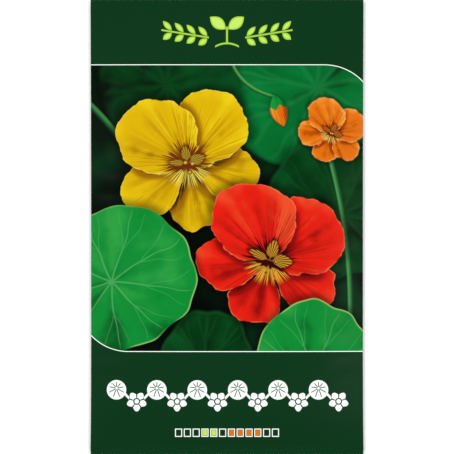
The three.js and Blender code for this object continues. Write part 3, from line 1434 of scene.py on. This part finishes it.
@dataclass
class Flap:
    """An end flap: how deep it is, and how much narrower on each side where it ends."""

    depth: float
    taper: float
    corner: float = 3.0
    corner_steps: int = 6

    def steps(self, run: float) -> list[tuple[float, float]]:
        """The steps that the flap is drawn in: slanting sides, then rounded corners.

        Args:
            run: how far the flap runs on from its fold.

        Returns:
            How far each step goes on, and how much narrower it makes each side.
        """
        straight = run - self.corner
        steps = [(straight, self.taper * straight / run)]
        turns = [math.pi / 2 * step / self.corner_steps for step in range(self.corner_steps + 1)]
        for last, turn in zip(turns, turns[1:]):
            onwards = self.corner * (math.sin(turn) - math.sin(last))
            inwards = self.corner * (math.cos(last) - math.cos(turn))
            steps.append((onwards, inwards + self.taper * onwards / run))
        return steps


@dataclass
class Sachet:
    """The die-cut sheet, folded into a flat packet that its seeds swell.

    The levels are the heights of the middle of the paper: of the flaps under the packet, of the
    back panels, of the one that laps over the other inside, and of the front. The back panels
    are drawn out from line to line, and the left one is joggled up to lap over the right one.
    """

    width: float = 90.0
    height: float = 150.0
    paper: float = 0.25
    flap_level: float = 0.125
    back_level: float = 0.5
    lapped_level: float = 0.875
    front_level: float = 1.25
    side_end: float = 74.25
    right_lines: tuple[float, ...] = (30.0, 15.0, 0.0, -6.0)
    left_lines: tuple[float, ...] = (-30.0, -18.0, -10.0)
    lapped_lines: tuple[float, ...] = (-6.75, -1.5, 4.0)
    rise: float = 6.375
    full_from: float = -30.0
    full_to: float = 2.0
    bow: float = 3.2
    slack: float = 1.6
    end_rim: float = 2.0
    draw_in: float = 0.2
    end_spread: float = 0.49
    sag: float = 0.22
    sag_to: float = 12.0
    seed_reach: float = 4.6
    pucker: float = 0.22
    pucker_at: float = 6.0
    pucker_reach: float = 4.0
    fold_steps: int = 8
    smooth_angle: float = 35.0
    grid: tuple[int, int] = (88, 146)
    flaps: dict[End, Flap] = field(
        default_factory=lambda: {End.BOTTOM: Flap(17.0, 6.0), End.CLOSING: Flap(25.0, 9.0)}
    )
    seeds: list[Point] = field(default_factory=list)

    @property
    def side_radius(self) -> float:
        """The radius of the side folds, to the middle of the paper."""
        return (self.front_level - self.back_level) / 2

    @property
    def end_radius(self) -> float:
        """The radius of the end folds, to the middle of the paper."""
        return (self.front_level - self.flap_level) / 2

    @property
    def fold_x(self) -> float:
        """How far out the side folds' middles lie."""
        return self.width / 2 - self.side_radius - self.paper / 2

    @property
    def fold_y(self) -> float:
        """How far out the end folds' middles lie."""
        return self.height / 2 - self.end_radius - self.paper / 2

    def build(self) -> bpy.types.Object:
        """Folds the sheet, fills it out, gives it its thickness and hands it to the frame.

        Returns:
            The finished packet.
        """
        sheet = self._front_panel()
        for side in Side:
            self._turn_side_under(sheet, side)
        for end in End:
            self._turn_end_under(sheet, end)
        bpy.ops.mesh.select_all(action="SELECT")
        bpy.ops.mesh.remove_doubles(threshold=CLOSE)
        bpy.ops.mesh.normals_make_consistent(inside=False)
        bpy.ops.object.mode_set(mode="OBJECT")
        self._dress(sheet)
        move_vertices(sheet, self._filled)
        self._thicken(sheet)
        settle(sheet, "printed_sachet", "printed_paper", "sachet")
        return sheet

    def _front_panel(self) -> bpy.types.Object:
        """Makes the flat front panel, with a line where the side folds end.

        Returns:
            The panel, in edit mode.
        """
        deselect_all()
        columns, rows = self.grid
        bpy.ops.mesh.primitive_grid_add(
            x_subdivisions=columns, y_subdivisions=rows, size=2.0, location=(0.0, 0.0, 0.0)
        )
        sheet = bpy.context.object
        bpy.ops.object.mode_set(mode="EDIT")
        bpy.ops.mesh.select_mode(type="EDGE")
        bpy.ops.mesh.select_all(action="SELECT")
        bpy.ops.transform.resize(value=(self.fold_x, self.fold_y, 1.0))
        bpy.ops.transform.translate(value=(0.0, 0.0, self.front_level))
        for end in End:
            bpy.ops.mesh.select_all(action="SELECT")
            line = (0.0, end.value * self.side_end, 0.0)
            bpy.ops.mesh.bisect(plane_co=line, plane_no=(0.0, 1.0, 0.0))
        return sheet

    @staticmethod
    def _extend(move: tuple[float, float, float]) -> None:
        """Extrudes the selected edges by a move."""
        bpy.ops.mesh.extrude_edges_move(TRANSFORM_OT_translate={"value": move})

    def _turn_side_under(self, sheet: bpy.types.Object, side: Side) -> None:
        """Rolls a side fold and draws the back panel out of it, to its free edge.

        Args:
            sheet: the sheet, in edit mode.
            side: which side.
        """
        out = side.value
        edge, end = out * self.fold_x, self.side_end + CLOSE
        pick_edges(sheet, lambda at: abs(at.x - edge) < CLOSE and abs(at.y) < end)
        centre = (edge, 0.0, (self.front_level + self.back_level) / 2)
        bpy.ops.mesh.spin(
            steps=self.fold_steps, angle=-out * math.pi, center=centre, axis=(0.0, 1.0, 0.0)
        )
        if side is Side.RIGHT:
            lines = [(x, 0.0) for x in self.right_lines]
        else:
            lift = self.lapped_level - self.back_level
            lines = [(x, 0.0) for x in self.left_lines] + [(x, lift) for x in self.lapped_lines]
        x, z = edge, 0.0
        for next_x, next_z in lines:
            self._extend((next_x - x, 0.0, next_z - z))
            x, z = next_x, next_z

    def _turn_end_under(self, sheet: bpy.types.Object, end: End) -> None:
        """Rolls an end fold and draws the flap out of it, narrower towards its free edge.

        Args:
            sheet: the sheet, in edit mode.
            end: which end.
        """
        out = end.value
        edge, level, flap = out * self.fold_y, self.front_level, self.flaps[end]
        pick_edges(sheet, lambda at: abs(at.y - edge) < CLOSE and abs(at.z - level) < CLOSE)
        centre = (0.0, edge, (self.front_level + self.flap_level) / 2)
        bpy.ops.mesh.spin(
            steps=self.fold_steps, angle=out * math.pi, center=centre, axis=(1.0, 0.0, 0.0)
        )
        run = flap.depth - (self.height / 2 - self.fold_y)
        half = self.fold_x
        for step, drawn_in in flap.steps(run):
            self._extend((0.0, -out * step, 0.0))
            share = (half - drawn_in) / half
            bpy.ops.transform.resize(value=(share, 1.0, 1.0), center_override=(0.0, 0.0, 0.0))
            half = half - drawn_in

    def _dress(self, sheet: bpy.types.Object) -> None:
        """Gives the sheet its prints, which meet in the middle of each fold.

        Args:
            sheet: the folded sheet, in object mode.
        """
        front = CoatedPaper().cover("front_print", FrontPrint())
        back = CoatedPaper(wear=0.16).cover("back_print", BackPrint())
        raw = RawPaper().cover()
        for finish in (front, back, raw, raw):
            sheet.data.materials.append(finish)
        middle = (self.front_level + self.back_level) / 2
        for face in sheet.data.polygons:
            face.material_index = Face.FRONT.value if face.center.z > middle else Face.BACK.value

    def _fullness(self, x: np.ndarray, y: np.ndarray) -> tuple[np.ndarray, np.ndarray]:
        """How full the packet is at each point, across it and along it, from 0 to 1.

        Args:
            x: the points' X.
            y: the points' Y.

        Returns:
            The fullness across and the fullness along.
        """
        rim = self.fold_y - self.end_rim
        across = 1 - np.clip(np.abs(x) / self.fold_x, 0, 1) ** self.bow
        low = 1 - np.clip((self.full_from - y) / (self.full_from + rim), 0, 1) ** self.bow
        high = 1 - np.clip((y - self.full_to) / (rim - self.full_to), 0, 1) ** self.slack
        return across, np.where(y < self.full_from, low, high)

    def _filled(self, at: np.ndarray) -> np.ndarray:
        """Swells the front over the seeds, lets it sag between them, and trues the outline.

        The sides are drawn in where the packet is full, and the end folds are as wide as it is.

        Args:
            at: the flat sheet's places.

        Returns:
            The full sheet's places.
        """
        x, y, z = at.T
        across, along = self._fullness(x, y)
        front = (z > self.front_level - CLOSE) & (np.abs(x) < self.fold_x + CLOSE)
        bulge = across * along
        held = np.zeros_like(x)
        for seed_x, seed_y in self.seeds:
            distance = np.hypot(x - seed_x, y - seed_y)
            held = np.maximum(held, np.exp(-((distance / self.seed_reach) ** 2)))
        lifted = self.rise * bulge - self.sag * (1 - held) * bulge * (y < self.sag_to)
        lifted = lifted - self.pucker * self._puckers(x, y) * along
        z = np.where(front, z + lifted, z)
        wrapped = (np.abs(y) < self.side_end + CLOSE) & (z > self.flap_level + 10 * CLOSE)
        x = np.where(wrapped, x * (1 - self.draw_in / self.fold_x * along), x)
        beyond = np.clip((np.abs(y) - self.side_end) / (self.fold_y - self.side_end), 0, 1)
        x = x * (1 + self.end_spread / self.fold_x * beyond)
        return np.column_stack([x, y, z])

    def _puckers(self, x: np.ndarray, y: np.ndarray) -> np.ndarray:
        """Shallow creases that run in from the side folds, where the paper is gathered.

        They are about 7.6 mm apart, and come and go over 33 mm.

        Args:
            x: the points' X.
            y: the points' Y.

        Returns:
            How deep the creases are, from 0 to 1.
        """
        inwards = self.fold_x - np.abs(x)
        side = np.sign(x)
        wave = 0.5 + 0.5 * np.sin(0.83 * y + 0.07 * inwards + 1.7 * side)
        patches = 0.5 + 0.5 * np.sin(0.19 * y + 2.3 * side + 0.6)
        return wave * patches * np.exp(-(((inwards - self.pucker_at) / self.pucker_reach) ** 2))

    def _thicken(self, sheet: bpy.types.Object) -> None:
        """Gives the sheet its paper's thickness, bare on the inside and at its cut edges.

        Args:
            sheet: the sheet, in object mode.
        """
        solid = sheet.modifiers.new("paper", "SOLIDIFY")
        solid.thickness = self.paper
        solid.offset = 0.0
        solid.use_even_offset = False
        solid.material_offset = Face.RAW.value
        solid.material_offset_rim = Face.RAW.value
        bpy.ops.object.modifier_apply(modifier=solid.name)
        bpy.ops.object.shade_smooth_by_angle(angle=math.radians(self.smooth_angle))


@dataclass(frozen=True)
class SeedPlace:
    """Where one seed lies: its middle and its underside, its turn in radians and its scale."""

    name: str
    middle: Point
    level: float
    turn: float
    scale: float


@dataclass
class Seeds:
    """The loose corky seeds: one husk, modelled once and laid in every seed's place."""

    prefix: str = "seed_"
    size: tuple[float, float, float] = (7.0, 6.0, 5.0)
    rings: tuple[int, int] = (42, 24)
    ribs: int = 7
    rib_depth: float = 0.13
    wrinkle: float = 0.045
    blunt: float = 0.3
    flat: float = 0.85

    def places(self, nodes: dict[str, bpy.types.Object]) -> list[SeedPlace]:
        """Finds where the seeds lie, in millimetres, each with its narrow end along its turn.

        Args:
            nodes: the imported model's nodes by name.

        Returns:
            The places, in the order of the seeds' names.
        """
        places = []
        for name in sorted(name for name in nodes if name.startswith(self.prefix)):
            at = np.array([vertex.co for vertex in nodes[name].data.vertices]) / MM
            level, top = at[:, 2].min(), at[:, 2].max()
            flat = at[:, :2] - at[:, :2].mean(axis=0)
            axes = np.linalg.eigh(flat.T @ flat)[1]
            reach = flat @ axes
            shift = (reach.max(axis=0) + reach.min(axis=0)) / 2
            side, ahead = (reach - shift).T
            along = axes[:, 1] if (ahead * side * side).sum() < 0 else -axes[:, 1]
            middle = at[:, :2].mean(axis=0) + axes @ shift
            turn = math.atan2(along[1], along[0])
            places.append(SeedPlace(name, tuple(middle), level, turn, (top - level) / self.size[2]))
        return places

    def build(self, places: list[SeedPlace]) -> None:
        """Models the husk and lays a copy of it in every place.

        Args:
            places: where the seeds lie.
        """
        model = self._model()
        model.data.materials.append(SeedHusk().cover())
        for place in places:
            seed = model.copy()
            seed.data = model.data.copy()
            bpy.context.scene.collection.objects.link(seed)
            move_vertices(seed, lambda at: self._laid(at, place))
            settle(seed, f"husk_of_{place.name}", "seed_husk", place.name)
        bpy.data.objects.remove(model)

    def _model(self) -> bpy.types.Object:
        """Models the husk at the origin, its narrow end along X, as large as a seed.

        Returns:
            The husk.
        """
        deselect_all()
        segments, rings = self.rings
        bpy.ops.mesh.primitive_uv_sphere_add(segments=segments, ring_count=rings, radius=0.5)
        husk = bpy.context.object
        move_vertices(husk, self._shaped)
        smooth = husk.modifiers.new("round", "SUBSURF")
        smooth.levels = smooth.render_levels = 1
        bpy.ops.object.modifier_apply(modifier=smooth.name)
        bpy.ops.object.mode_set(mode="EDIT")
        bpy.ops.mesh.select_all(action="SELECT")
        bpy.ops.mesh.normals_make_consistent(inside=False)
        bpy.ops.object.mode_set(mode="OBJECT")
        bpy.ops.object.shade_smooth()
        move_vertices(husk, self._sized)
        return husk

    def _shaped(self, at: np.ndarray) -> np.ndarray:
        """Turns a ball into a lying, ribbed and wrinkled egg that is flatter underneath.

        Args:
            at: the ball's places, with its poles up and down.

        Returns:
            The egg's places.
        """
        y, z, x = at.T
        turn = np.arctan2(z, y)
        waist = np.sqrt(np.clip(1 - 4 * x * x, 0, 1))
        bent = self.ribs * turn + 0.9 * np.sin(7 * x) + 0.5 * np.sin(2 * turn + 9 * x)
        rib = 1 + self.rib_depth * waist * (np.abs(np.cos(bent / 2)) * 2 - 1)
        folds = np.sin(31 * x + 3 * np.sin(5 * turn)) * np.sin(9 * turn + 14 * x)
        lumps = np.sin(13 * x + 4 * turn) * np.sin(11 * turn - 8 * x)
        swell = rib + self.wrinkle * waist * (folds + 0.8 * lumps)
        swell = swell * (1 - self.blunt * x)
        under = np.where(z < 0, self.flat, 1.0)
        return np.column_stack([x, y * swell, z * swell * under])

    def _sized(self, at: np.ndarray) -> np.ndarray:
        """Fits the husk to a seed's size.

        Args:
            at: the husk's places.

        Returns:
            Its new places, with its middle over the origin and its underside at level 0.
        """
        low, high = at.min(axis=0), at.max(axis=0)
        at = (at - (low + high) / 2) / (high - low) * np.array(self.size)
        return at + np.array([0.0, 0.0, self.size[2] / 2])

    @staticmethod
    def _laid(at: np.ndarray, place: SeedPlace) -> np.ndarray:
        """Lays the husk in a seed's place.

        Args:
            at: the husk's places at the origin.
            place: where the seed lies.

        Returns:
            The husk's new places.
        """
        cos, sin = math.cos(place.turn), math.sin(place.turn)
        x, y, z = (at * place.scale).T
        turned = np.column_stack([x * cos - y * sin, x * sin + y * cos, z])
        return turned + np.array([*place.middle, place.level])


@dataclass
class GlueStrips:
    """The strips of dried glue in the overlap and under the two flaps."""

    names: tuple[str, ...] = ("seam_glue", "closing_flap_glue", "bottom_flap_glue")

    def dress(self, nodes: dict[str, bpy.types.Object]) -> None:
        """Gives every strip its finish.

        Args:
            nodes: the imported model's nodes by name.
        """
        film = DriedGlue().cover()
        for name in self.names:
            for slot in nodes[name].material_slots:
                slot.material = film
            log.info("%s: dressed in dried glue", name)


# ------------------------------------------------------------------ the studio


@dataclass(frozen=True)
class Softbox:
    """A square soft light that hangs over the floor and faces a point of it."""

    name: str
    place: tuple[float, float, float]
    size: float
    power: float

    def hang(self) -> None:
        """Adds the light."""
        light = bpy.data.lights.new(self.name, "AREA")
        light.size = self.size
        light.energy = self.power
        lamp = bpy.data.objects.new(self.name, light)
        lamp.location = self.place
        lamp.rotation_euler = (-Vector(self.place)).to_track_quat("-Z", "Y").to_euler()
        bpy.context.scene.collection.objects.link(lamp)


@dataclass
class Studio:
    """A plain pale floor, soft lights, and a long lens that looks straight down.

    The lens and the sensor are millimetres, and so are view, the length that fills the picture
    at that level, and the gap under the packet. The floor and the lights are in metres.
    """

    lens: float = 680.0
    sensor: float = 36.0
    view: float = 149.65
    level: float = 0.7
    gap: float = 0.02
    floor_size: float = 6.0
    floor_shades: tuple[str, str] = ("#f7f7f6", "#fafaf9")
    ambient: float = 0.44
    lights: tuple[Softbox, ...] = (
        Softbox("key", (-2.0, 1.6, 2.1), 1.8, 100.0),
        Softbox("fill", (2.2, -1.2, 2.0), 2.2, 78.0),
    )

    def build(self) -> None:
        """Adds the floor, the lights, the surroundings and the camera."""
        self._floor()
        for light in self.lights:
            light.hang()
        self._surroundings()
        self._camera()
        bpy.context.scene.view_settings.view_transform = "Standard"

    def _floor(self) -> None:
        """Adds a pale matt floor just under the packet."""
        deselect_all()
        under = (0.0, 0.0, -self.gap * MM)
        bpy.ops.mesh.primitive_plane_add(size=self.floor_size, location=under)
        floor = bpy.context.object
        floor.name = "floor"
        bpy.ops.object.transform_apply(location=True, rotation=True, scale=True)
        board = Finish("floor_paint")
        grain = board.ease(board.noise(board.place(), 0.01), 0.3, 0.7)
        colour = board.mix(grain, *(ink(code) for code in self.floor_shades))
        floor.data.materials.append(board.end(colour, 0.9, specular=0.1))

    def _surroundings(self) -> None:
        """Lights everything evenly from all round."""
        world = bpy.data.worlds.new("studio")
        world.use_nodes = True
        background = world.node_tree.nodes["Background"]
        background.inputs["Color"].default_value = (1.0, 1.0, 1.0, 1.0)
        background.inputs["Strength"].default_value = self.ambient
        bpy.context.scene.world = world

    def _camera(self) -> None:
        """Looks straight down, so high that the packet's length fills the frame."""
        lens = bpy.data.cameras.new("camera")
        lens.lens = self.lens
        lens.sensor_width = self.sensor
        camera = bpy.data.objects.new("camera", lens)
        distance = self.view * self.lens / self.sensor
        camera.location = (0.0, 0.0, (distance + self.level) * MM)
        bpy.context.scene.collection.objects.link(camera)
        bpy.context.scene.camera = camera


def main() -> None:
    """Builds the studio and dresses the packet."""
    logging.basicConfig(level=logging.INFO, format="%(name)s: %(message)s")
    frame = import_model()
    nodes = frame["nodes"]
    Studio().build()
    seeds = Seeds()
    places = seeds.places(nodes)
    seeds.build(places)
    GlueStrips().dress(nodes)
    Sachet(seeds=[place.middle for place in places]).build()
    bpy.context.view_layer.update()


if __name__ == "__main__":
    main()
